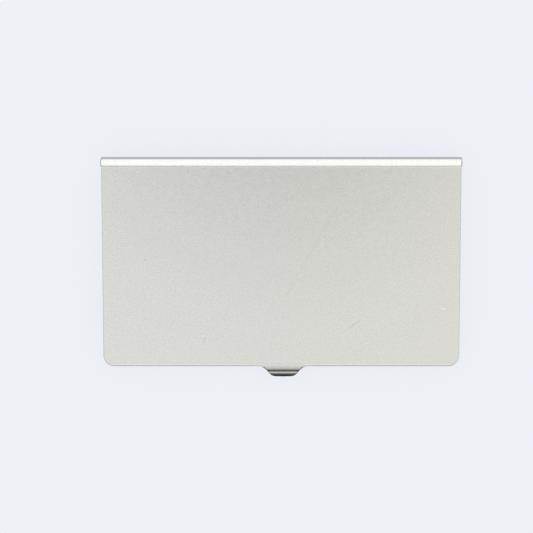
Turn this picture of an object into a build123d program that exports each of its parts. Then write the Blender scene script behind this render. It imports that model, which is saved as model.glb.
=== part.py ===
"""Slim aluminium business-card case with a full-length curled hinge. All sizes are in millimetres.

Frame: +X runs along the hinge, +Y points towards the hinge, and +Z points up out of the lid's face.
The case lies closed on its back, and the origin is the centre of its footprint on that surface.

The lid and the base shell are aluminium sheet. A thin stainless tray is bonded into the base shell,
and its rear wall is curled round a steel rod inside the lid's own curl, which makes the hinge. A leaf
spring on the tray lifts the cards against the lid, so that they don't rattle.
"""

from build123d import *

import os
from math import asin, cos, degrees, radians, sin, sqrt, tan

# Overall sizes. A standard card is 88.9 by 50.8 mm, and it sets the two first ones.
FACE_WIDTH = 94.3
BODY_DEPTH = 55.5  # from the back of the hinge curl to the lid's front edge
TAB_REACH = 3.45  # how far the thumb tab stands out in front of that edge
FACE_HEIGHT = 6.5  # top of the lid's face

# Lid sheet.
LID_SHEET = 0.5
LID_CORNER = 2.85
LID_EDGE_BEND = 0.25  # outer radius where the flange turns down
LID_INNER_BEND = 0.1
FLANGE_DEPTH = 2.5  # from the face down to the flange's lower edge

# Hinge, seen along X. The curl stands a little above the face, and meets it in a crease.
CURL_RADIUS = 1.4
CURL_HALF_LENGTH = 47.05  # nearly as long as the face is wide
CURL_AXIS_DROP = 0.92  # the axis below the lid's face
HEEL_DEPTH = 0.4  # depth of the strip of face that is as short as the curl
CURL_TAIL_ANGLE = 296.0  # where the lid's curl ends, in degrees from +Y, anticlockwise
HINGE_CLEARANCE = 0.05
TRAY_CURL_HALF_LENGTH = 46.9
TRAY_CURL_WEB_ANGLE = 176.0  # the tray's curl runs from the web round to the gap, clockwise
TRAY_CURL_GAP_ANGLE = 200.0
ROD_CLEARANCE = 0.02
ROD_HALF_LENGTH = 44.0
CAP_DOME_HEIGHT = 0.4
CAP_GAP = 0.05

# Base shell sheet, which stands just inside the lid's flange.
SHELL_SHEET = 0.4
SHELL_GAP = 0.15
SHELL_FOOT_BEND = 0.5
LID_SEAT_GAP = 0.08  # between the shell's rim and the underside of the lid
NOTCH_WIDTH = 24.0
NOTCH_DEPTH = 1.9  # the closed lid's flange hides the notch
NOTCH_CORNER = 1.2

# Bonding sheet and tray.
BOND_THICKNESS = 0.15
BOND_MARGIN = 1.2
BOND_HOLE_RADIUS = 1.9
TRAY_SHEET = 0.3
TRAY_SIDE_GAP = 0.1
TRAY_LIP_HEIGHT = 2.4
TRAY_BEND = 0.5
TRAY_REAR_GAP = 0.15  # between the rear wall and the lid's curl
WEB_ABOVE_AXIS = 0.1  # middle of the web that runs from the rear wall into the curl
THUMB_RECESS_RADIUS = 15.0
THUMB_RECESS_DEPTH = 5.0

# Detent dimples, pressed into the lid's side flanges and the shell's side walls.
DIMPLE_RADIUS = 1.3
DIMPLE_HEIGHT = 0.17  # the lid's dimples stand 0.02 proud of the shell's walls, which spring inwards
DIMPLE_FROM_FRONT = 12.0
DIMPLE_Z = 4.95

# Card spring: one foot across the tray and two arms that reach forward from it.
LEAF = 0.2
LEAF_ARM_WIDTH = 9.0
LEAF_ARM_OFFSET = 15.0
LEAF_BEND_Y = 16.0
LEAF_FOOT_DEPTH = 6.0
LEAF_FOOT_CORNER = 1.2
LEAF_CREST_Y = -3.0
LEAF_TIP_Y = -6.0
LEAF_CREST_TOP = 1.86
LEAF_TIP_DROP = 0.1
LEAF_CREST_BEND = 9.0
LEAF_TIP_CORNER = 3.0
LEAF_BEND_GAP = 0.06
LEAF_BEND_LIFT = 0.01  # the arms clear the tray by this at their bend
SPRING_RIVET_OFFSETS = (-15.0, 0.0, 15.0)
SPRING_RIVET_RADIUS = 0.9
SPRING_RIVET_HEAD_RADIUS = 1.6
SPRING_RIVET_HEAD = 0.3
SPRING_RIVET_HEAD_EDGE = 0.27
SPRING_RIVET_TAIL = 0.12
RIVET_CLEARANCE = 0.02

# Thumb tab. The plan outline is a trapezium with rounded corners, and the profile steps down twice.
TAB_OFFSET = 0.5  # the tab sits this far towards +X
TAB_ROOT_HALF_WIDTH = 5.3
TAB_TIP_HALF_WIDTH = 2.85
TAB_ROOT_RADIUS = 2.6
TAB_TIP_RADIUS = 1.9
TAB_TIP_BULGE = 0.12
TAB_RELIEF_HALF_WIDTH = 5.7
TAB_ROOT_INSET = 1.0
TAB_FIRST_DROP = 1.4  # from the face to the ledge
TAB_LEDGE_END = 2.2  # where the ledge's line meets the lip's, in front of the lid's edge
TAB_STEEP_ANGLE = 60.0
TAB_LIP_ANGLE = 60.0
TAB_TOP_BEND = 1.3  # these three radii are those of the upper surface
TAB_LEDGE_BEND = 0.3
TAB_LIP_BEND = 0.5
TAB_TIP_EDGE = 0.2  # rounding of the sheet's cut edge at the tip

# Places that follow from the sizes above.
BACK = (BODY_DEPTH + TAB_REACH) / 2
FRONT = BACK - BODY_DEPTH
AXIS_Y = BACK - CURL_RADIUS
AXIS_Z = FACE_HEIGHT - CURL_AXIS_DROP
LID_UNDERSIDE = FACE_HEIGHT - LID_SHEET
CREASE_Y = AXIS_Y - sqrt(CURL_RADIUS**2 - CURL_AXIS_DROP**2)
FLANGE_BOTTOM = FACE_HEIGHT - FLANGE_DEPTH
FLANGE_REAR = AXIS_Y - CURL_RADIUS - 0.5
SHELL_INSET = LID_SHEET + SHELL_GAP
SHELL_HALF = FACE_WIDTH / 2 - SHELL_INSET
SHELL_FRONT = FRONT + SHELL_INSET
SHELL_TOP = LID_UNDERSIDE - LID_SEAT_GAP
REAR_WALL = AXIS_Y - CURL_RADIUS - TRAY_REAR_GAP  # outer face of the base's rear wall
TRAY_BOTTOM = SHELL_SHEET + BOND_THICKNESS
TRAY_TOP = TRAY_BOTTOM + TRAY_SHEET
TRAY_HALF = SHELL_HALF - SHELL_SHEET - TRAY_SIDE_GAP
TRAY_FRONT = SHELL_FRONT + SHELL_SHEET + TRAY_SIDE_GAP
TRAY_CURL_OUTER = CURL_RADIUS - LID_SHEET - HINGE_CLEARANCE
TRAY_CURL_INNER = TRAY_CURL_OUTER - TRAY_SHEET
ROD_RADIUS = TRAY_CURL_INNER - ROD_CLEARANCE
LEAF_TOP = TRAY_TOP + LEAF
DIMPLE_Y = FRONT + DIMPLE_FROM_FRONT

FAR = 60.0  # beyond every edge of the case


def block(x0, x1, y0, y1, z0, z1):
    """A box between two corners."""
    centre = Pos((x0 + x1) / 2, (y0 + y1) / 2, (z0 + z1) / 2)
    return centre * Box(x1 - x0, y1 - y0, z1 - z0)


def pan_block(half_width, front, back, corner, z0, z1):
    """A box whose two front corners are rounded in plan."""
    solid = block(-half_width, half_width, front, back, z0, z1)
    return fillet(solid.edges().filter_by(Axis.Z).group_by(Axis.Y)[0], corner)


def rim_edges(solid, z, back):
    """The edges of a pan block at height z, apart from the straight one at the back."""
    at_height = solid.edges().filter_by_position(Axis.Z, z - 0.001, z + 0.001)
    return at_height.filter_by(lambda e: e.center().Y < back - 0.01)


def extrude_along_x(face, x0, x1):
    """A face in the YZ plane, extruded from x0 to x1."""
    return Pos(x0, 0, 0) * extrude(face, amount=x1 - x0, dir=(1, 0, 0))


def strip_profile(points, radii, thickness):
    """A bent sheet's section in the YZ plane: points and bend radii are those of its middle line."""
    return Plane.YZ * trace(FilletPolyline(*points, radius=radii), line_width=thickness)


def ring_sector(inner, outer, start, end):
    """Part of a ring round the hinge axis in the YZ plane, between two angles from +Y, in degrees."""
    plane = Plane(origin=(0, AXIS_Y, AXIS_Z), x_dir=(0, 1, 0), z_dir=(1, 0, 0))
    near = outer * 3
    steps = 8
    turn = [radians(start + (end - start) * i / steps) for i in range(steps + 1)]
    wedge = make_face(Polyline((0, 0), *[(near * cos(a), near * sin(a)) for a in turn], close=True))
    return plane * ((Circle(outer) - Circle(inner)) & wedge)


def dimple(side, wall_outer, sheet):
    """A shallow dimple pressed inwards in a side wall: the bump it raises and the pit it leaves."""
    inner_face = wall_outer - sheet
    bump_centre = inner_face - DIMPLE_HEIGHT + DIMPLE_RADIUS
    pit_centre = wall_outer - DIMPLE_HEIGHT + DIMPLE_RADIUS
    ball = Rot(0, 90, 0) * Sphere(DIMPLE_RADIUS)
    bump = Pos(side * bump_centre, DIMPLE_Y, DIMPLE_Z) * ball
    inside_wall = block(*sorted((0, side * (wall_outer - sheet / 2))), -FAR, FAR, 0, FACE_HEIGHT)
    pit = Pos(side * pit_centre, DIMPLE_Y, DIMPLE_Z) * ball
    return bump & inside_wall, pit


def with_dimples(solid, wall_outer, sheet):
    """The solid with one detent dimple in each side wall."""
    for side in (-1, 1):
        bump, pit = dimple(side, wall_outer, sheet)
        solid = solid + bump - pit
    return solid


def tab_outline():
    """The thumb tab in plan, from inside the lid's front edge to the tab's tip."""
    tip = FRONT - TAB_REACH
    side = TAB_ROOT_HALF_WIDTH + TAB_ROOT_RADIUS
    half = [
        (side, FRONT),
        (TAB_ROOT_HALF_WIDTH, FRONT),
        (TAB_TIP_HALF_WIDTH, tip + TAB_TIP_BULGE),
    ]
    left = [(-x, y) for x, y in half]
    line = FilletPolyline(
        *left,
        (0, tip),
        *reversed(half),
        radius=[TAB_ROOT_RADIUS, TAB_TIP_RADIUS, 2 * TAB_TIP_HALF_WIDTH, TAB_TIP_RADIUS, TAB_ROOT_RADIUS],
    )
    inner = FRONT + TAB_ROOT_INSET
    close = Polyline((side, FRONT), (side, inner), (-side, inner), (-side, FRONT))
    return Pos(TAB_OFFSET, 0, 0) * make_face(line + close)


def tab_profile():
    """The thumb tab's section: down steeply to a narrow ledge, then down again to the lip's end."""
    half = LID_SHEET / 2
    steep, lip = radians(TAB_STEEP_ANGLE), radians(TAB_LIP_ANGLE)
    first = TAB_TOP_BEND * tan(steep / 2)
    second = first + TAB_FIRST_DROP / tan(steep)
    corner_reach = TAB_REACH + TAB_TIP_EDGE * (sin(lip) + cos(lip) - 1)  # before the edge is rounded
    last_drop = (corner_reach - TAB_LEDGE_END) * tan(lip)
    top = FACE_HEIGHT - half
    ledge = top - TAB_FIRST_DROP
    points = [
        (FRONT + TAB_ROOT_INSET, top),
        (FRONT - first + half * tan(steep / 2), top),
        (FRONT - second + half * tan(steep / 2), ledge),
        (FRONT - TAB_LEDGE_END + half * tan(lip / 2), ledge),
        (FRONT - corner_reach + half * sin(lip), ledge + half - half * cos(lip) - last_drop),
    ]
    bends = [TAB_TOP_BEND - half, TAB_LEDGE_BEND + half, TAB_LIP_BEND - half]
    section = strip_profile(points, bends, LID_SHEET)
    tip_corners = section.vertices().sort_by(Axis.Y)[:2]
    return fillet(tip_corners, TAB_TIP_EDGE)


def thumb_tab():
    """The tab's sheet, cut to its plan outline."""
    side = TAB_ROOT_HALF_WIDTH + TAB_ROOT_RADIUS
    sheet = extrude_along_x(tab_profile(), TAB_OFFSET - side, TAB_OFFSET + side)
    return sheet & extrude(tab_outline(), amount=FACE_HEIGHT + 1, dir=(0, 0, 1))


def lid_curl_section():
    """The lid's curl with the strip of face in front of it. The curl meets the face in a crease."""
    crease_angle = 180 - degrees(asin(CURL_AXIS_DROP / CURL_RADIUS))
    curl = ring_sector(CURL_RADIUS - LID_SHEET, CURL_RADIUS, crease_angle, CURL_TAIL_ANGLE - 360)
    strip_depth = AXIS_Y - CREASE_Y + HEEL_DEPTH
    strip_middle = (AXIS_Y - strip_depth / 2, FACE_HEIGHT - LID_SHEET / 2)
    strip = Plane.YZ * Pos(*strip_middle) * Rectangle(strip_depth, LID_SHEET)
    bore = Plane.YZ * Pos(AXIS_Y, AXIS_Z) * Circle(CURL_RADIUS - LID_SHEET)
    return curl + (strip - bore)


def lid_shell():
    """The lid: face, side and front flanges, thumb tab and hinge curl, all of one sheet."""
    half = FACE_WIDTH / 2
    back = CREASE_Y - HEEL_DEPTH
    outer = pan_block(half, FRONT, back, LID_CORNER, FLANGE_BOTTOM, FACE_HEIGHT)
    outer = fillet(rim_edges(outer, FACE_HEIGHT, back), LID_EDGE_BEND)
    corner = LID_CORNER - LID_SHEET
    inner = pan_block(half - LID_SHEET, FRONT + LID_SHEET, FAR, corner, 0, LID_UNDERSIDE)
    inner = fillet(rim_edges(inner, LID_UNDERSIDE, FAR), LID_INNER_BEND)
    lid = outer - inner
    lid = lid - block(-FAR, FAR, FLANGE_REAR, FAR, 0, LID_UNDERSIDE)
    relief = (TAB_OFFSET - TAB_RELIEF_HALF_WIDTH, TAB_OFFSET + TAB_RELIEF_HALF_WIDTH)
    lid = lid - block(*relief, -FAR, FRONT + LID_SHEET + LID_INNER_BEND, 0, LID_UNDERSIDE)
    lid = lid + thumb_tab()
    curl = extrude_along_x(lid_curl_section(), -CURL_HALF_LENGTH, CURL_HALF_LENGTH)
    lid = lid + curl
    return with_dimples(lid, half, LID_SHEET)


def base_shell():
    """The base: floor, side walls and front wall of one sheet, with a thumb notch in the front."""
    outer = pan_block(SHELL_HALF, SHELL_FRONT, REAR_WALL, LID_CORNER - SHELL_INSET, 0, SHELL_TOP)
    outer = fillet(rim_edges(outer, 0, REAR_WALL), SHELL_FOOT_BEND)
    corner = LID_CORNER - SHELL_INSET - SHELL_SHEET
    half = SHELL_HALF - SHELL_SHEET
    inner = pan_block(half, SHELL_FRONT + SHELL_SHEET, FAR, corner, SHELL_SHEET, FACE_HEIGHT)
    inner = fillet(rim_edges(inner, SHELL_SHEET, FAR), SHELL_FOOT_BEND - SHELL_SHEET)
    notch = block(-NOTCH_WIDTH / 2, NOTCH_WIDTH / 2, -FAR, 0, SHELL_TOP - NOTCH_DEPTH, FAR)
    notch = fillet(notch.edges().filter_by(Axis.Y).group_by(Axis.Z)[0], NOTCH_CORNER)
    return with_dimples(outer - inner - notch, SHELL_HALF, SHELL_SHEET)


def spring_rivet_places():
    """Where the card spring's rivets stand, in the middle of its foot."""
    y = LEAF_BEND_Y + LEAF_FOOT_DEPTH / 2
    return [Pos(x, y, 0) for x in SPRING_RIVET_OFFSETS]


def drill(solid, radius):
    """The solid with a hole of this radius at each rivet."""
    for place in spring_rivet_places():
        solid = solid - place * Cylinder(radius, 4 * FACE_HEIGHT)
    return solid


def bonding_sheet():
    """Double-sided sheet that holds the tray in the shell, with holes that clear the rivets' tails."""
    half = TRAY_HALF - BOND_MARGIN
    front, back = TRAY_FRONT + BOND_MARGIN, REAR_WALL - BOND_MARGIN
    sheet = pan_block(half, front, back, 1.0, SHELL_SHEET, TRAY_BOTTOM)
    recess = Pos(0, TRAY_FRONT + THUMB_RECESS_DEPTH - THUMB_RECESS_RADIUS, 0)
    sheet = sheet - recess * Cylinder(THUMB_RECESS_RADIUS + BOND_MARGIN, 4 * FACE_HEIGHT)
    return drill(sheet, BOND_HOLE_RADIUS)


def tray_curl_section():
    """The tray's curl round the rod, with the web that leads into it from the rear wall."""
    curl = ring_sector(TRAY_CURL_INNER, TRAY_CURL_OUTER, TRAY_CURL_GAP_ANGLE - 360, TRAY_CURL_WEB_ANGLE)
    web_middle = (AXIS_Y - CURL_RADIUS / 2, AXIS_Z + WEB_ABOVE_AXIS)
    web = Plane.YZ * Pos(*web_middle) * Rectangle(CURL_RADIUS, TRAY_SHEET)
    cut = Plane.YZ * Pos(AXIS_Y, AXIS_Z) * Rectangle(2 * TRAY_CURL_INNER, 2 * TRAY_CURL_INNER)
    bore = Plane.YZ * Pos(AXIS_Y, AXIS_Z) * Circle(TRAY_CURL_INNER)
    return curl + (web - cut - bore)


def hinge_tray():
    """The stainless tray: floor with low side lips, rear wall, and the curl that the lid turns on."""
    middle = TRAY_SHEET / 2
    web_z = AXIS_Z + WEB_ABOVE_AXIS
    points = [
        (TRAY_FRONT, TRAY_BOTTOM + middle),
        (REAR_WALL - middle, TRAY_BOTTOM + middle),
        (REAR_WALL - middle, web_z),
        (AXIS_Y - CURL_RADIUS, web_z),
    ]
    section = strip_profile(points, [TRAY_BEND, middle + 0.1], TRAY_SHEET)
    tray = extrude_along_x(section, -TRAY_HALF, TRAY_HALF)
    corner = LID_CORNER - SHELL_INSET - SHELL_SHEET - TRAY_SIDE_GAP
    keep = pan_block(TRAY_HALF, TRAY_FRONT, FAR, corner, 0, FACE_HEIGHT)
    lip_rear = REAR_WALL - TRAY_SHEET - 1.0
    lip = pan_block(TRAY_HALF, TRAY_FRONT - FAR, lip_rear, 0.1, TRAY_BOTTOM, TRAY_BOTTOM + TRAY_LIP_HEIGHT)
    well = block(-TRAY_HALF + TRAY_SHEET, TRAY_HALF - TRAY_SHEET, -FAR, FAR, 0, FACE_HEIGHT)
    lip = (lip - well) & block(-FAR, FAR, TRAY_FRONT + corner, FAR, 0, FACE_HEIGHT)
    tray = (tray + lip) & keep
    curl = extrude_along_x(tray_curl_section(), -TRAY_CURL_HALF_LENGTH, TRAY_CURL_HALF_LENGTH)
    recess = Pos(0, TRAY_FRONT + THUMB_RECESS_DEPTH - THUMB_RECESS_RADIUS, 0)
    tray = tray - recess * Cylinder(THUMB_RECESS_RADIUS, 4)
    return drill(tray + curl, SPRING_RIVET_RADIUS + RIVET_CLEARANCE)


def card_spring_foot():
    """The spring's foot, a flat strip riveted across the tray's floor."""
    reach = LEAF_ARM_OFFSET + LEAF_ARM_WIDTH / 2
    foot = block(-reach, reach, LEAF_BEND_Y, LEAF_BEND_Y + LEAF_FOOT_DEPTH, TRAY_TOP, LEAF_TOP)
    foot = fillet(foot.edges().filter_by(Axis.Z).group_by(Axis.Y)[-1], LEAF_FOOT_CORNER)
    return drill(foot, SPRING_RIVET_RADIUS + RIVET_CLEARANCE)


def card_spring_arm(side):
    """One of the spring's arms: it rises from the bend, and its tip is turned down past the crest."""
    middle = LEAF / 2
    crest = LEAF_CREST_TOP - middle
    points = [
        (LEAF_BEND_Y - LEAF_BEND_GAP, TRAY_TOP + LEAF_BEND_LIFT + middle),
        (LEAF_CREST_Y, crest),
        (LEAF_TIP_Y, crest - LEAF_TIP_DROP),
    ]
    section = strip_profile(points, [LEAF_CREST_BEND], LEAF)
    x = side * LEAF_ARM_OFFSET
    arm = extrude_along_x(section, x - LEAF_ARM_WIDTH / 2, x + LEAF_ARM_WIDTH / 2)
    tip_corners = arm.edges().filter_by(Axis.Z, tolerance=12).group_by(Axis.Y)[0]
    return fillet(tip_corners, LEAF_TIP_CORNER)


def upright_disc(radius, z0, z1):
    """A disc on the Z axis between two heights."""
    return Pos(0, 0, (z0 + z1) / 2) * Cylinder(radius, z1 - z0)


def spring_rivets():
    """Rivets that hold the spring's foot to the tray. Their tails stand in the bonding sheet's holes."""
    shank_bottom = TRAY_BOTTOM - SPRING_RIVET_TAIL
    head = upright_disc(SPRING_RIVET_HEAD_RADIUS, LEAF_TOP, LEAF_TOP + SPRING_RIVET_HEAD)
    head = fillet(head.edges().sort_by(Axis.Z)[-1], SPRING_RIVET_HEAD_EDGE)
    shank = upright_disc(SPRING_RIVET_RADIUS, shank_bottom, LEAF_TOP)
    tail = upright_disc(SPRING_RIVET_HEAD_RADIUS, shank_bottom, TRAY_BOTTOM)
    rivet = head + shank + tail
    return Compound(children=[place * rivet for place in spring_rivet_places()])


def hinge_rod():
    """The steel rod that the tray's curl is wrapped round."""
    return Pos(0, AXIS_Y, AXIS_Z) * Rot(0, 90, 0) * Cylinder(ROD_RADIUS, 2 * ROD_HALF_LENGTH)


def hinge_cap(side):
    """A domed plug that closes one end of the hinge and keeps the two curls from sliding apart."""
    inner = CURL_HALF_LENGTH + CAP_GAP
    sphere_radius = (CURL_RADIUS**2 + CAP_DOME_HEIGHT**2) / (2 * CAP_DOME_HEIGHT)
    ball = Pos(inner + CAP_DOME_HEIGHT - sphere_radius, 0, 0) * Rot(0, 90, 0) * Sphere(sphere_radius)
    dome = ball & block(inner, FAR, -FAR, FAR, -FAR, FAR)
    stem_start = ROD_HALF_LENGTH + CAP_GAP
    stem = Pos((stem_start + inner) / 2, 0, 0) * Rot(0, 90, 0) * Cylinder(ROD_RADIUS, inner - stem_start)
    cap = dome + stem
    if side < 0:
        cap = mirror(cap, about=Plane.YZ)
    return Pos(0, AXIS_Y, AXIS_Z) * cap


def make_parts():
    """Every piece of the case by its name."""
    return {
        "lid_shell": lid_shell(),
        "base_shell": base_shell(),
        "bonding_sheet": bonding_sheet(),
        "hinge_tray": hinge_tray(),
        "card_spring_foot": card_spring_foot(),
        "card_spring_left_arm": card_spring_arm(-1),
        "card_spring_right_arm": card_spring_arm(1),
        "spring_rivets": spring_rivets(),
        "hinge_rod": hinge_rod(),
        "hinge_cap_left": hinge_cap(-1),
        "hinge_cap_right": hinge_cap(1),
    }


os.makedirs("parts", exist_ok=True)
for name, shape in make_parts().items():
    export_step(shape, f"parts/{name}.step")
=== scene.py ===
"""Looks for the hinged aluminium card case: studio, camera and procedural materials, all in metres."""

from math import cos, radians, sin
from types import SimpleNamespace

import bpy
from mathutils import Matrix, Vector


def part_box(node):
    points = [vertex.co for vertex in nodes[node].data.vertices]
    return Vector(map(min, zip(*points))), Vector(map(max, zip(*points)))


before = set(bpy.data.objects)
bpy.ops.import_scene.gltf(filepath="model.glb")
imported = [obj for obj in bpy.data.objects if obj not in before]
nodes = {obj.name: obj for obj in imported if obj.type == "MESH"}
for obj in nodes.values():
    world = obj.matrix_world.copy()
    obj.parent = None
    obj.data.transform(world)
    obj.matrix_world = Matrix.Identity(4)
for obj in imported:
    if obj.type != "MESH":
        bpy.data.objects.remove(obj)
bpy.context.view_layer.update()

MM = 0.001

# Where the Mix node keeps its sockets for colours.
MIX_FIRST_COLOUR = 6
MIX_SECOND_COLOUR = 7
MIX_COLOUR_RESULT = 2

# Camera: above the lid's face, leaning a little towards the hinge.
CAMERA_DISTANCE = 0.5
CAMERA_TILT = radians(7.7)
LENS_MM = 128.01
SHIFT = (-0.0278, 0.0042)

# Floor: a pale plane that glows a little.
FLOOR_COLOUR = (237, 240, 246)
FLOOR_GLOW = 0.9
FLOOR_HALF = 3.0
FLOOR_DROP = 0.00003  # the floor lies this far below the base, so that the two don't coincide

# Tent: white, with a dark opening overhead. Each stop is an angle from the zenith in degrees and the
# light's level there, on the thumb tab's side and on the hinge's side.
TENT_FRONT = [
    (0, 0.02), (5, 0.35), (9, 1.62), (13, 1.46), (18, 0.98), (28, 1.06), (36, 1.2), (45, 1.0), (58, 1.06),
    (68, 1.0), (80, 0.86), (91, 0.68), (101, 0.52), (111, 0.42), (125, 0.24), (140, 0.14), (180, 0.08),
]
TENT_BACK = [
    (0, 0.02), (5, 0.35), (9, 1.62), (13, 1.46), (18, 0.98), (28, 1.06), (36, 1.2), (45, 1.06), (58, 1.11),
    (68, 0.98), (80, 0.77), (90, 0.48), (100, 0.36), (115, 0.43), (140, 0.6), (180, 0.78),
]
TENT_PEAK = 1.7
TENT_BLEND = 0.75  # how quickly the front's levels turn into the back's, going round the object
TINT_LEFT = (0.996, 1.0, 1.003)
TINT_MIDDLE = (0.938, 0.94, 0.903)
TINT_RIGHT = (1.0, 0.998, 0.902)
TINT_SLOPE = 2.5  # how quickly the tint changes from left to right
# A tint on the back's stops from the first angle up to the second.
BACK_LOW_TINT = (1.0, 1.05, 1.13)
BACK_LOW_ANGLES = (90, 150)
# A lift of the light at the left and right, below the horizon. A direction's X and Z say where it starts
# and where it is full.
SIDE_LIFT = (1.9, 1.87, 1.74)
SIDE_FADE = (0.45, 0.85)
LOW_FADE = (0.15, -0.25)

# The lid's shape, in millimetres.
CURL_DEPTH = 2.455  # from the crease in front of the curl to the curl's back
CORNER = 2.85
TAB_REACH = 3.45
TAB_OFFSET = 0.5
TAB_ROOT_HALF = 5.3
TAB_TIP_HALF = 2.85
FACE_ABOVE_BASE = 0.58  # the lid's face above the base shell's rim

# Satin aluminium: the scale of its noises, in features per metre, and what they do to the surface.
GRAIN_SCALE = 4600.0
MOTTLE_SCALE = 1300.0
MOTTLE_SHARE = 0.1
GRAIN_SPREAD = 0.2
GRAIN_BUMP = 0.2
GRAIN_HEIGHT = 0.02  # in millimetres
SATIN_ROUGHNESS = 0.23
MOTTLE_ROUGHNESS = 0.06
FACE_DARK = (0.516, 0.516, 0.511)
FACE_LIGHT = (0.702, 0.702, 0.697)
BASE_DARK = (0.55, 0.55, 0.545)
BASE_LIGHT = (0.67, 0.67, 0.665)

# Hairlines: long thin streaks of noise, shown only in patches.
HAIRLINE_ANGLES = (0.4, 1.5, 2.6)
HAIRLINE_TINT = (1.05, 1.05, 1.05)
HAIRLINE_DEPTH = 0.6  # against the grain's height
STREAK_SCALE = 900.0
STREAK_STRETCH = (0.05, 4.0, 0.05)
STREAK_STEP = (0.72, 0.78)
PATCH_SCALE = 90.0
PATCH_STEP = (0.55, 0.7)

# The lid's painted highlights, painted reflection and painted shade, and its marks. A fade is where a mask
# starts and where it is full, in millimetres from its place. A band is the middle of a mask, in millimetres
# from its place, and how far from the middle it is full and gone.
# Painted highlight: the curl's colour is lifted to stand in for the bright reflection along its top.
CURL_HIGHLIGHT = (1.5, 1.52, 1.545)
CURL_FADE = (0.0, 0.1)
CURL_ROUGHNESS = 0.08
# Painted reflection: a bluish tint on the curl's back stands in for a bluish surround reflected there.
CURL_BACK_REFLECTION_TINT = (1.0, 1.04, 1.14)
CURL_BACK_FADE = (-0.45, -0.2)
# Painted shade: a darker, yellowish, uneven line in the crease beside the curl.
CREASE_SHADE_TINT = (0.83, 0.81, 0.66)
CREASE_BAND = (0.15, 0.08, 0.28)
# Painted highlight: a bright line at the foot of the crease.
CREASE_FOOT_HIGHLIGHT = (1.07, 1.07, 1.06)
CREASE_FOOT_BAND = (-0.12, 0.12, 0.3)
CREASE_SHADE_SCALE = 350.0
CREASE_SHADE_STRETCH = (1, 0.1, 0.1)
CREASE_SHADE_LEVEL = 0.25
CREASE_SHADE_UNEVEN = 0.25
CREASE_SHADE_TO_LEFT = 0.45  # the crease's painted shade is this much stronger at its left end
CREASE_SHADE_START = -15.0  # where the stronger shade towards the left begins
# Painted shade: the flanges are darker than the face.
FLANGE_SHADE_TINT = (0.84, 0.83, 0.79)
EDGE_FADE = (-0.03, -0.1)
BODY_FADE = (-0.05, 0.0)
# Painted shade: a darker line in the front bend and its corners.
FRONT_BEND_SHADE_TINT = (0.84, 0.84, 0.81)
FRONT_EDGE_FADE = (0.36, 0.22)
CORNER_FADE = (0.6 * CORNER, 0.3 * CORNER)
BEND_FADE = (-0.6, -0.3)
BESIDE_TAB_FADE = (-0.4, 0.6)
# Painted highlight: a bright line just behind the front edge.
FRONT_HIGHLIGHT = (1.1, 1.1, 1.1)
FRONT_HIGHLIGHT_BAND = (0.5, 0.1, 0.3)
# Marks on the face: where each starts and ends in millimetres, its half width, and its tint.
FACE_MARKS = [
    ((14.5, 16.4), (1.0, -7.5), 0.18, 0.955),
    ((20.7, -13.75), (18.2, -15.5), 0.2, 0.88),
    ((18.2, -15.5), (15.7, -17.2), 0.15, 0.94),
    ((-20.2, -18.5), (-20.6, -19.6), 0.2, 0.84),
    ((-20.2, -6.9), (-22.0, -7.6), 0.15, 0.95),
    ((42.2, -10.65), (43.2, -10.65), 0.16, 1.24),
    ((-35.95, 2.45), (-35.85, 2.4), 0.2, 0.75),
]
MARK_CORE = 0.4  # the share of a mark's half width that has its full tint
FACE_FADE = (-0.2, -0.05)
# Painted shade on the thumb tab, darkest in its crease and on its lip, and a faint painted shadow line just
# behind
# the front edge: millimetres ahead of the edge, and level.
TAB_SHADE_LEVELS = [
    (-1.1, 1.0), (-0.75, 0.955), (-0.5, 0.985), (-0.2, 0.96), (0.0, 0.93), (0.4, 0.86), (0.7, 0.84),
    (0.95, 0.92), (1.15, 0.6), (1.3, 0.25), (1.65, 0.25), (1.85, 0.72), (2.05, 0.8), (2.2, 0.5),
    (2.45, 0.5), (2.7, 0.36), (2.85, 0.14), (3.0, 0.05), (3.25, 0.03), (3.45, 0.01),
]
# Painted shade along the tab's two flanks.
TAB_FLANK_SHADE_TINT = (0.22, 0.22, 0.21)
FLANK_FADE = (0.36, 0.1)
FLANK_START_FADE = (0.0, 0.45)

# Scuffs on the base's underside.
SCUFF_SCALE = 140.0
SCUFF_DETAIL = 8.0
SCUFF_BREAKUP = 0.75
SCUFF_STEP = (0.45, 0.75)
SCUFF_TINT = (0.93, 0.93, 0.93)
SCUFF_ROUGHNESS = 0.12
UNDERSIDE_FADE = (0.4, 0.1)

# Steels: the dark and light colours of their fine lines, and their roughness.
STAINLESS_SHEET = ((0.48, 0.475, 0.46), (0.63, 0.62, 0.60), 0.24)
SPRING_STEEL = ((0.33, 0.34, 0.355), (0.45, 0.455, 0.465), 0.2)
CAP_STEEL = ((0.88, 0.872, 0.815), (0.97, 0.958, 0.905), 0.34)
ROD_STEEL = ((0.6, 0.6, 0.59), (0.75, 0.75, 0.74), 0.2)
RIVET_STEEL = ((0.50, 0.50, 0.49), (0.66, 0.66, 0.65), 0.2)
STEEL_SPREAD = 0.12
STEEL_LINE_SCALE = 9000.0
STEEL_LINE_HEIGHT = 0.01  # in millimetres
ALONG_X = (0.02, 1, 1)
ALONG_Y = (1, 0.02, 1)
BRUSH_CLOUD_SCALE = 120.0
BRUSH_CLOUD_SHARE = 0.35
BRUSH_BREAKUP = 0.6
BRUSH_ROUGHNESS = 0.14
BRUSH_BUMP = 0.35
RING_STRETCH = (1, 0.05, 1)
SPECKLE_SCALE = 2500.0
SPECKLE_SHARE = 0.4
SPECKLE_ROUGHNESS = 0.1
RING_BUMP = 0.3

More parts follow.
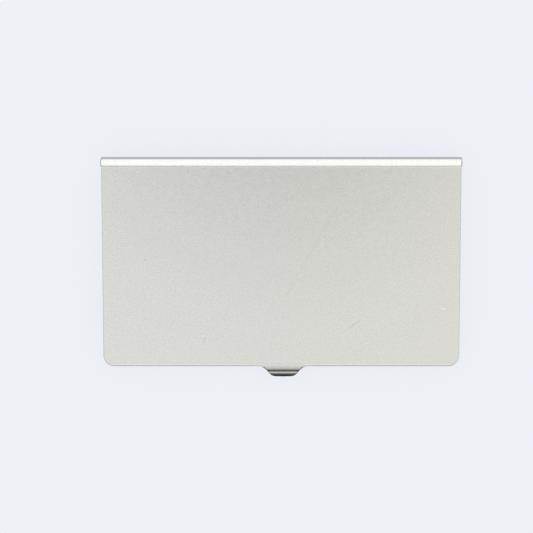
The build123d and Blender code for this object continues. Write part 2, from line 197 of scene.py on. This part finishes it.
# Bonding film: cloudy between two colours, with bubbles.
FILM_DARK = (0.62, 0.56, 0.42)
FILM_LIGHT = (0.74, 0.70, 0.58)
FILM_CLOUD_SCALE = 400.0
FILM_SPREAD = 0.15
FILM_ROUGHNESS = 0.42
BUBBLE_SCALE = 1200.0
BUBBLE_STEP = (0.22, 0.12)
BUBBLE_TINT = (1.15, 1.15, 1.15)
BUBBLE_BUMP = 0.4
BUBBLE_HEIGHT = 0.03  # in millimetres


def linear(red, green, blue):
    """A display colour, 0 to 255, as the linear colour that shaders take."""
    def one(value):
        value = value / 255
        return value / 12.92 if value <= 0.04045 else ((value + 0.055) / 1.055) ** 2.4
    return (one(red), one(green), one(blue), 1)


class Tree:
    """A short way to write a node tree: each call adds a node and links or sets its inputs."""

    def __init__(self, owner):
        self.owner = owner
        owner.use_nodes = True
        self.tree = owner.node_tree
        self.tree.nodes.clear()

    def add(self, kind, settings=None, **inputs):
        node = self.tree.nodes.new("ShaderNode" + kind)
        for name, value in (settings or {}).items():
            setattr(node, name, value)
        for name, value in inputs.items():
            self.put(node.inputs[name.replace("_", " ")], value)
        return node

    def put(self, socket, value):
        if isinstance(value, bpy.types.NodeSocket):
            self.tree.links.new(value, socket)
        else:
            socket.default_value = value

    def math(self, operation, *values, clamp=False):
        node = self.tree.nodes.new("ShaderNodeMath")
        node.operation = operation
        node.use_clamp = clamp
        for socket, value in zip(node.inputs, values):
            self.put(socket, value)
        return node.outputs[0]

    def vector(self, operation, *values, output="Vector"):
        node = self.tree.nodes.new("ShaderNodeVectorMath")
        node.operation = operation
        for socket, value in zip(node.inputs, values):
            self.put(socket, value)
        return node.outputs[output]

    def split(self, place):
        parts = self.add("SeparateXYZ", Vector=place).outputs
        return parts["X"], parts["Y"], parts["Z"]

    def away(self, value, centre):
        """The distance of a value from a centre."""
        return self.math("ABSOLUTE", self.math("SUBTRACT", value, centre))

    def step(self, value, start, end):
        """A smooth step from 0 at start to 1 at end, where end may be above or below start."""
        rising = end > start
        low, high = (start, end) if rising else (end, start)
        first, last = (0.0, 1.0) if rising else (1.0, 0.0)
        settings = {"interpolation_type": "SMOOTHSTEP"}
        node = self.add("MapRange", settings, From_Min=low, From_Max=high, To_Min=first, To_Max=last)
        self.put(node.inputs["Value"], value)
        return node.outputs["Result"]

    def fade(self, value, place, ends):
        """A smooth step between two ends, which are in millimetres from a place."""
        start, end = ends
        return self.step(value, place + start * MM, place + end * MM)

    def band(self, value, place, shape):
        """1 about a middle, which is in millimetres from a place, and 0 further away from it."""
        middle, full, gone = shape
        return self.step(self.away(value, place + middle * MM), gone * MM, full * MM)

    def noise(self, place, scale, stretch=(1, 1, 1), detail=2.0, roughness=0.5):
        """Noise with features of about 1 / scale metres, longer along an axis whose stretch is below 1."""
        squeezed = self.vector("MULTIPLY", place, stretch)
        node = self.add("TexNoise", Vector=squeezed, Scale=scale, Detail=detail, Roughness=roughness)
        return node.outputs[0]

    def ramp(self, factor, stops):
        """A colour ramp through the colours at the given places."""
        node = self.tree.nodes.new("ShaderNodeValToRGB")
        ramp = node.color_ramp
        while len(ramp.elements) < len(stops):
            ramp.elements.new(1.0)
        for element, (place, colour) in zip(ramp.elements, stops):
            element.position = place
            element.color = (*colour, 1)
        self.put(node.inputs["Fac"], factor)
        return node.outputs["Color"]

    def tone(self, noise, dark, light, spread):
        """A colour from dark to light, as the noise goes from spread below a half to spread above it."""
        return self.ramp(noise, [(0.5 - spread, dark), (0.5 + spread, light)])

    def noise_mix(self, fine, coarse, coarse_share):
        """Two noises added up, by the coarse one's share."""
        return self.math("MULTIPLY_ADD", coarse, coarse_share, self.math("MULTIPLY", fine, 1 - coarse_share))

    def mix(self, factor, first, second, blend_type="MIX"):
        """Two colours mixed by a factor."""
        node = self.add("Mix", {"data_type": "RGBA", "blend_type": blend_type}, Factor=factor)
        self.put(node.inputs[MIX_FIRST_COLOUR], first)
        self.put(node.inputs[MIX_SECOND_COLOUR], second)
        return node.outputs[MIX_COLOUR_RESULT]

    def shade(self, colour, factor, tint):
        """The colour multiplied by a tint, as far as the factor says."""
        return self.mix(factor, colour, (*tint, 1), "MULTIPLY")

    def either(self, factor, first, second):
        """The first shader where the factor is 0, and the second where it is 1."""
        node = self.add("MixShader", Fac=factor)
        self.put(node.inputs[1], first.outputs[0])
        self.put(node.inputs[2], second.outputs[0])
        return node

    def bump(self, height, strength, distance_mm):
        return self.add("Bump", Height=height, Strength=strength, Distance=distance_mm * MM).outputs[0]

    def metal(self, colour, roughness, normal):
        """Ends the tree as bare metal and returns the material."""
        shader = self.add("BsdfPrincipled", Base_Color=colour, Roughness=roughness, Normal=normal)
        self.put(shader.inputs["Metallic"], 1.0)
        self.add("OutputMaterial", Surface=shader.outputs[0])
        return self.owner


def make_camera():
    camera = bpy.data.objects.new("camera", bpy.data.cameras.new("camera"))
    bpy.context.scene.collection.objects.link(camera)
    face_centre = Vector((0, 0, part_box("base_shell")[1].z))
    away = Vector((0, sin(CAMERA_TILT), cos(CAMERA_TILT)))
    place = Matrix.Translation(face_centre + CAMERA_DISTANCE * away)
    camera.matrix_world = place @ Matrix.Rotation(-CAMERA_TILT, 4, "X")
    camera.data.lens = LENS_MM
    camera.data.shift_x, camera.data.shift_y = SHIFT
    bpy.context.scene.camera = camera


def make_floor():
    """A pale floor with only a faint contact shadow, because it glows. It is clear from below."""
    mesh = bpy.data.meshes.new("floor")
    corners = [(x * FLOOR_HALF, y * FLOOR_HALF, -FLOOR_DROP) for x, y in ((-1, -1), (1, -1), (1, 1), (-1, 1))]
    mesh.from_pydata(corners, [], [(0, 1, 2, 3)])
    floor = bpy.data.objects.new("floor", mesh)
    bpy.context.scene.collection.objects.link(floor)
    tree = Tree(bpy.data.materials.new("pale_floor"))
    colour = linear(*FLOOR_COLOUR)
    matt = tree.add("BsdfDiffuse", Color=colour)
    glow = tree.add("Emission", Color=colour, Strength=1.0)
    from_below = tree.add("NewGeometry").outputs["Backfacing"]
    shader = tree.either(from_below, tree.either(FLOOR_GLOW, matt, glow), tree.add("BsdfTransparent"))
    tree.add("OutputMaterial", Surface=shader.outputs[0])
    mesh.materials.append(tree.owner)
    floor.visible_glossy = False


def tent_side(tree, from_zenith, stops, low_tint=(1, 1, 1)):
    """The tent's light on one side, by the angle from the zenith as a share of 180 degrees."""
    start, end = BACK_LOW_ANGLES
    colours = []
    for angle, level in stops:
        tint = low_tint if start <= angle < end else (1, 1, 1)
        colours.append((angle / 180, [level / TENT_PEAK * channel for channel in tint]))
    return tree.ramp(from_zenith, colours)


def make_world():
    """A white tent round the object, darker overhead where the camera looks in and below the horizon.

    Seen directly, past the floor's edge, it is as plain and pale as the floor.
    """
    world = bpy.data.worlds.new("studio")
    bpy.context.scene.world = world
    tree = Tree(world)
    direction = tree.add("TexCoord").outputs["Generated"]
    x, _, z = tree.split(direction)
    from_zenith = tree.math("DIVIDE", tree.math("ARCCOSINE", z), radians(180))
    level = tree.vector("NORMALIZE", tree.vector("MULTIPLY", direction, (1, 1, 0)))
    towards_back = tree.math("MULTIPLY_ADD", tree.split(level)[1], TENT_BLEND, 0.5, clamp=True)
    front = tent_side(tree, from_zenith, TENT_FRONT)
    back = tent_side(tree, from_zenith, TENT_BACK, BACK_LOW_TINT)
    light = tree.mix(towards_back, front, back)
    across = tree.math("MULTIPLY_ADD", x, TINT_SLOPE, 0.5, clamp=True)
    tint = tree.ramp(across, [(0.0, TINT_LEFT), (0.5, TINT_MIDDLE), (1.0, TINT_RIGHT)])
    tinted = tree.vector("MULTIPLY", light, tint)
    low_side = tree.math("MULTIPLY", tree.step(tree.math("ABSOLUTE", x), *SIDE_FADE), tree.step(z, *LOW_FADE))
    tent = tree.add("Background", Color=tree.shade(tinted, low_side, SIDE_LIFT), Strength=TENT_PEAK)
    backdrop = tree.add("Background", Color=linear(*FLOOR_COLOUR), Strength=1.0)
    shown = tree.either(tree.add("LightPath").outputs["Is Camera Ray"], tent, backdrop)
    tree.add("OutputWorld", Surface=shown.outputs[0])


def new_material(name):
    """An empty material and the place of each point in the model's frame, in metres."""
    tree = Tree(bpy.data.materials.new(name))
    return tree, tree.add("TexCoord").outputs["Object"]


def sheet_grain(tree, place, dark, light):
    """Colour, roughness and bump of a fine satin surface with soft mottling and hairline scratches."""
    grain = tree.noise(place, GRAIN_SCALE)
    mottle = tree.noise(place, MOTTLE_SCALE, detail=3.0)
    colour = tree.tone(tree.noise_mix(grain, mottle, MOTTLE_SHARE), dark, light, GRAIN_SPREAD)
    lines = [hairlines(tree, place, angle) for angle in HAIRLINE_ANGLES]
    hair = tree.math("MAXIMUM", tree.math("MAXIMUM", lines[0], lines[1]), lines[2])
    colour = tree.shade(colour, hair, HAIRLINE_TINT)
    roughness = tree.math("MULTIPLY_ADD", mottle, MOTTLE_ROUGHNESS, SATIN_ROUGHNESS)
    height = tree.math("MULTIPLY_ADD", hair, -HAIRLINE_DEPTH, grain)
    return colour, roughness, tree.bump(height, GRAIN_BUMP, GRAIN_HEIGHT)


def hairlines(tree, place, angle):
    """Sparse straight hairline scratches in one direction across the face, 0 to 1."""
    turned = tree.add("VectorRotate", {"rotation_type": "Z_AXIS"}, Vector=place, Angle=angle).outputs[0]
    streaks = tree.noise(turned, STREAK_SCALE, stretch=STREAK_STRETCH, detail=1.0)
    patches = tree.noise(turned, PATCH_SCALE, detail=1.0)
    return tree.math("MULTIPLY", tree.step(streaks, *STREAK_STEP), tree.step(patches, *PATCH_STEP))


def lid_places():
    """Where the lid's face, crease, edges and tab are, in metres."""
    low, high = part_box("lid_shell")
    middle = (low.x + high.x) / 2
    return SimpleNamespace(
        face=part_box("base_shell")[1].z + FACE_ABOVE_BASE * MM,
        back=high.y,
        crease=high.y - CURL_DEPTH * MM,
        front=low.y + TAB_REACH * MM,
        left=low.x,
        middle=middle,
        half_width=high.x - middle,
        tab=middle + TAB_OFFSET * MM,
    )


def lid_aluminium():
    """The lid's satin sheet with its marks, and painted highlights and shade on the hinge curl, crease, edges
    and tab.
    """
    tree, place = new_material("lid_aluminium")
    lid = lid_places()
    _, y, z = tree.split(place)
    colour, roughness, normal = sheet_grain(tree, place, FACE_DARK, FACE_LIGHT)

    # Painted highlight on the curl, which is also a little rougher, and a painted bluish reflection along its
    # back.
    on_curl = tree.fade(y, lid.crease, CURL_FADE)
    colour = tree.shade(colour, on_curl, CURL_HIGHLIGHT)
    roughness = tree.math("MULTIPLY_ADD", on_curl, CURL_ROUGHNESS, roughness)
    colour = tree.shade(colour, tree.fade(y, lid.back, CURL_BACK_FADE), CURL_BACK_REFLECTION_TINT)

    # Painted shade in the crease beside the curl, and a painted highlight at its foot.
    colour = crease_shade(tree, lid, place, colour)
    # Painted shade on the flanges and in the front bend, and a painted highlight just behind the front edge.
    colour = edge_shade_and_highlight(tree, lid, place, colour)
    on_face = tree.fade(z, lid.face, FACE_FADE)
    for start, end, half_width, tint in FACE_MARKS:
        mark = tree.math("MULTIPLY", near_segment(tree, place, start, end, half_width), on_face)
        colour = tree.shade(colour, mark, (tint, tint, tint))
    # Painted shade on the thumb tab and its flanks, and a faint painted shadow line behind the front edge.
    colour = tab_shade(tree, lid, place, colour)
    return tree.metal(colour, roughness, normal)


def crease_shade(tree, lid, place, colour):
    """Painted yellowish shade in the crease beside the curl, uneven and stronger to the left, and a painted
    highlight at its foot.
    """
    x, y, _ = tree.split(place)
    uneven = tree.noise(place, CREASE_SHADE_SCALE, stretch=CREASE_SHADE_STRETCH)
    level = tree.math("MULTIPLY_ADD", uneven, CREASE_SHADE_UNEVEN, CREASE_SHADE_LEVEL)
    strength = tree.math("MULTIPLY_ADD", tree.step(x, CREASE_SHADE_START * MM, lid.left), CREASE_SHADE_TO_LEFT, level)
    in_crease = tree.math("MULTIPLY", tree.band(y, lid.crease, CREASE_BAND), strength)
    colour = tree.shade(colour, in_crease, CREASE_SHADE_TINT)
    return tree.shade(colour, tree.band(y, lid.crease, CREASE_FOOT_BAND), CREASE_FOOT_HIGHLIGHT)


def edge_shade_and_highlight(tree, lid, place, colour):
    """Painted shade on the flanges, in the front bend and at its corners, and a painted highlight just behind
    it.
    """
    x, y, z = tree.split(place)
    on_body = tree.fade(y, lid.front, BODY_FADE)
    on_flange = tree.math("MULTIPLY", tree.fade(z, lid.face, EDGE_FADE), on_body)
    colour = tree.shade(colour, on_flange, FLANGE_SHADE_TINT)

    beside_tab = tree.fade(tree.away(x, lid.tab), TAB_ROOT_HALF * MM, BESIDE_TAB_FADE)
    in_bend = tree.math("MULTIPLY", tree.fade(z, lid.face, BEND_FADE), beside_tab)
    at_front = tree.math("MULTIPLY", on_body, tree.fade(y, lid.front, CORNER_FADE))
    at_edge = tree.math("MULTIPLY", at_front, tree.fade(front_inset(tree, lid, x, y), 0.0, FRONT_EDGE_FADE))
    colour = tree.shade(colour, tree.math("MULTIPLY", in_bend, at_edge), FRONT_BEND_SHADE_TINT)

    front_highlight = tree.math("MULTIPLY", tree.band(y, lid.front, FRONT_HIGHLIGHT_BAND), beside_tab)
    return tree.shade(colour, front_highlight, FRONT_HIGHLIGHT)


def front_inset(tree, lid, x, y):
    """How far a point lies in from the lid's front edge and the arcs of its two front corners."""
    corner = CORNER * MM
    from_arc = tree.math("SUBTRACT", tree.away(x, lid.middle), lid.half_width - corner)
    past_side = tree.math("MAXIMUM", from_arc, 0.0)
    past_front = tree.math("SUBTRACT", lid.front + corner, y)
    from_centre = tree.add("CombineXYZ", X=past_side, Y=past_front).outputs[0]
    return tree.math("SUBTRACT", corner, tree.vector("LENGTH", from_centre, output="Value"))


def near_segment(tree, place, start, end, half_width):
    """1 on a straight line in plan between two points in millimetres, falling to 0 beside it."""
    flat = tree.vector("MULTIPLY", place, (1, 1, 0))
    start, end = (Vector((x * MM, y * MM, 0)) for x, y in (start, end))
    along = end - start
    from_start = tree.vector("SUBTRACT", flat, start)
    dot = tree.vector("DOT_PRODUCT", from_start, along, output="Value")
    share = tree.math("DIVIDE", dot, along.length_squared, clamp=True)
    nearest = tree.add("VectorMath", {"operation": "SCALE"}, Vector=along, Scale=share).outputs[0]
    distance = tree.vector("DISTANCE", from_start, nearest, output="Value")
    return tree.step(distance, half_width * MM, MARK_CORE * half_width * MM)


def tab_shade(tree, lid, place, colour):
    """Painted shade on the thumb tab along its crease, its lip and its two flanks, and a faint painted shadow
    line behind its front edge.
    """
    x, y, _ = tree.split(place)
    ahead = tree.math("SUBTRACT", lid.front, y)
    start, end = TAB_SHADE_LEVELS[0][0], TAB_SHADE_LEVELS[-1][0]
    share = tree.math("MULTIPLY_ADD", ahead, 1 / ((end - start) * MM), -start / (end - start))
    shade_level = tree.ramp(share, [((at - start) / (end - start), (level,) * 3) for at, level in TAB_SHADE_LEVELS])
    colour = tree.vector("MULTIPLY", colour, shade_level)
    slope = (TAB_ROOT_HALF - TAB_TIP_HALF) / TAB_REACH
    outline = tree.math("MULTIPLY_ADD", ahead, -slope, TAB_ROOT_HALF * MM)
    inside = tree.math("SUBTRACT", outline, tree.away(x, lid.tab))
    flank = tree.math("MULTIPLY", tree.fade(inside, 0.0, FLANK_FADE), tree.fade(ahead, 0.0, FLANK_START_FADE))
    return tree.shade(colour, flank, TAB_FLANK_SHADE_TINT)


def base_aluminium():
    """The base shell's satin sheet, a little more even than the lid's, scuffed where it lies on tables."""
    tree, place = new_material("base_aluminium")
    z = tree.split(place)[2]
    colour, roughness, normal = sheet_grain(tree, place, BASE_DARK, BASE_LIGHT)
    rubbed = tree.noise(place, SCUFF_SCALE, detail=SCUFF_DETAIL, roughness=SCUFF_BREAKUP)
    scuffed = tree.math("MULTIPLY", tree.step(rubbed, *SCUFF_STEP), tree.fade(z, 0.0, UNDERSIDE_FADE))
    colour = tree.shade(colour, scuffed, SCUFF_TINT)
    roughness = tree.math("MULTIPLY_ADD", scuffed, SCUFF_ROUGHNESS, roughness)
    return tree.metal(colour, roughness, normal)


def brushed_steel(name, finish, stretch):
    """Steel with fine straight lines along the axis whose stretch is small."""
    tree, place = new_material(name)
    dark, light, roughness = finish
    lines = tree.noise(place, STEEL_LINE_SCALE, stretch=stretch, detail=3.0, roughness=BRUSH_BREAKUP)
    cloud = tree.noise(place, BRUSH_CLOUD_SCALE, detail=3.0)
    colour = tree.tone(tree.noise_mix(lines, cloud, BRUSH_CLOUD_SHARE), dark, light, STEEL_SPREAD)
    rough = tree.math("MULTIPLY_ADD", lines, BRUSH_ROUGHNESS, roughness)
    return tree.metal(colour, rough, tree.bump(lines, BRUSH_BUMP, STEEL_LINE_HEIGHT))


def turned_steel(name, finish, radius_of):
    """Steel with the fine rings of turning or peening round an axis. radius_of gives the distance from it."""
    tree, place = new_material(name)
    dark, light, roughness = finish
    radius = radius_of(tree, place)
    along = tree.add("CombineXYZ", X=radius, Y=tree.split(place)[0]).outputs[0]
    rings = tree.noise(along, STEEL_LINE_SCALE, stretch=RING_STRETCH)
    speckle = tree.noise(place, SPECKLE_SCALE, detail=3.0)
    colour = tree.tone(tree.noise_mix(rings, speckle, SPECKLE_SHARE), dark, light, STEEL_SPREAD)
    rough = tree.math("MULTIPLY_ADD", speckle, SPECKLE_ROUGHNESS, roughness)
    return tree.metal(colour, rough, tree.bump(rings, RING_BUMP, STEEL_LINE_HEIGHT))


def hinge_radius(tree, place):
    """Distance from the hinge's axis."""
    low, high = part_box("hinge_rod")
    axis = (low + high) / 2
    from_axis = tree.vector("SUBTRACT", place, (0, axis.y, axis.z))
    return tree.vector("LENGTH", tree.vector("MULTIPLY", from_axis, (0, 1, 1)), output="Value")


def rivet_radius(tree, place):
    """Distance from the nearest rivet's axis. The rivets stand in a row along X, evenly spaced."""
    low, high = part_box("spring_rivets")
    rivet = high.y - low.y
    spacing = (high.x - low.x - rivet) / 2
    x, y, _ = tree.split(place)
    wrapped = tree.math("WRAP", x, spacing / 2, -spacing / 2)
    from_row = tree.math("SUBTRACT", y, (low.y + high.y) / 2)
    offset = tree.add("CombineXYZ", X=wrapped, Y=from_row).outputs[0]
    return tree.vector("LENGTH", offset, output="Value")


def bonding_film():
    """Double-sided film, yellowed and a little cloudy, with small trapped bubbles."""
    tree, place = new_material("bonding_film")
    colour = tree.tone(tree.noise(place, FILM_CLOUD_SCALE, detail=4.0), FILM_DARK, FILM_LIGHT, FILM_SPREAD)
    cells = tree.add("TexVoronoi", Vector=place, Scale=BUBBLE_SCALE)
    bubbles = tree.step(cells.outputs["Distance"], *BUBBLE_STEP)
    colour = tree.shade(colour, bubbles, BUBBLE_TINT)
    bump = tree.bump(bubbles, BUBBLE_BUMP, BUBBLE_HEIGHT)
    shader = tree.add("BsdfPrincipled", Base_Color=colour, Roughness=FILM_ROUGHNESS, Normal=bump)
    tree.add("OutputMaterial", Surface=shader.outputs[0])
    return tree.owner


def finish_with(material, *names):
    """Gives CAD nodes their material."""
    for name in names:
        nodes[name].material_slots[0].material = material


def main():
    bpy.context.scene.view_settings.view_transform = "Standard"
    make_camera()
    make_floor()
    make_world()
    finish_with(lid_aluminium(), "lid_shell")
    finish_with(base_aluminium(), "base_shell")
    finish_with(bonding_film(), "bonding_sheet")
    finish_with(brushed_steel("stainless_sheet", STAINLESS_SHEET, ALONG_X), "hinge_tray")
    spring = brushed_steel("spring_steel", SPRING_STEEL, ALONG_Y)
    finish_with(spring, "card_spring_foot", "card_spring_left_arm", "card_spring_right_arm")
    finish_with(turned_steel("turned_caps", CAP_STEEL, hinge_radius), "hinge_cap_left", "hinge_cap_right")
    finish_with(turned_steel("turned_rod", ROD_STEEL, hinge_radius), "hinge_rod")
    finish_with(turned_steel("rivet_steel", RIVET_STEEL, rivet_radius), "spring_rivets")


main()
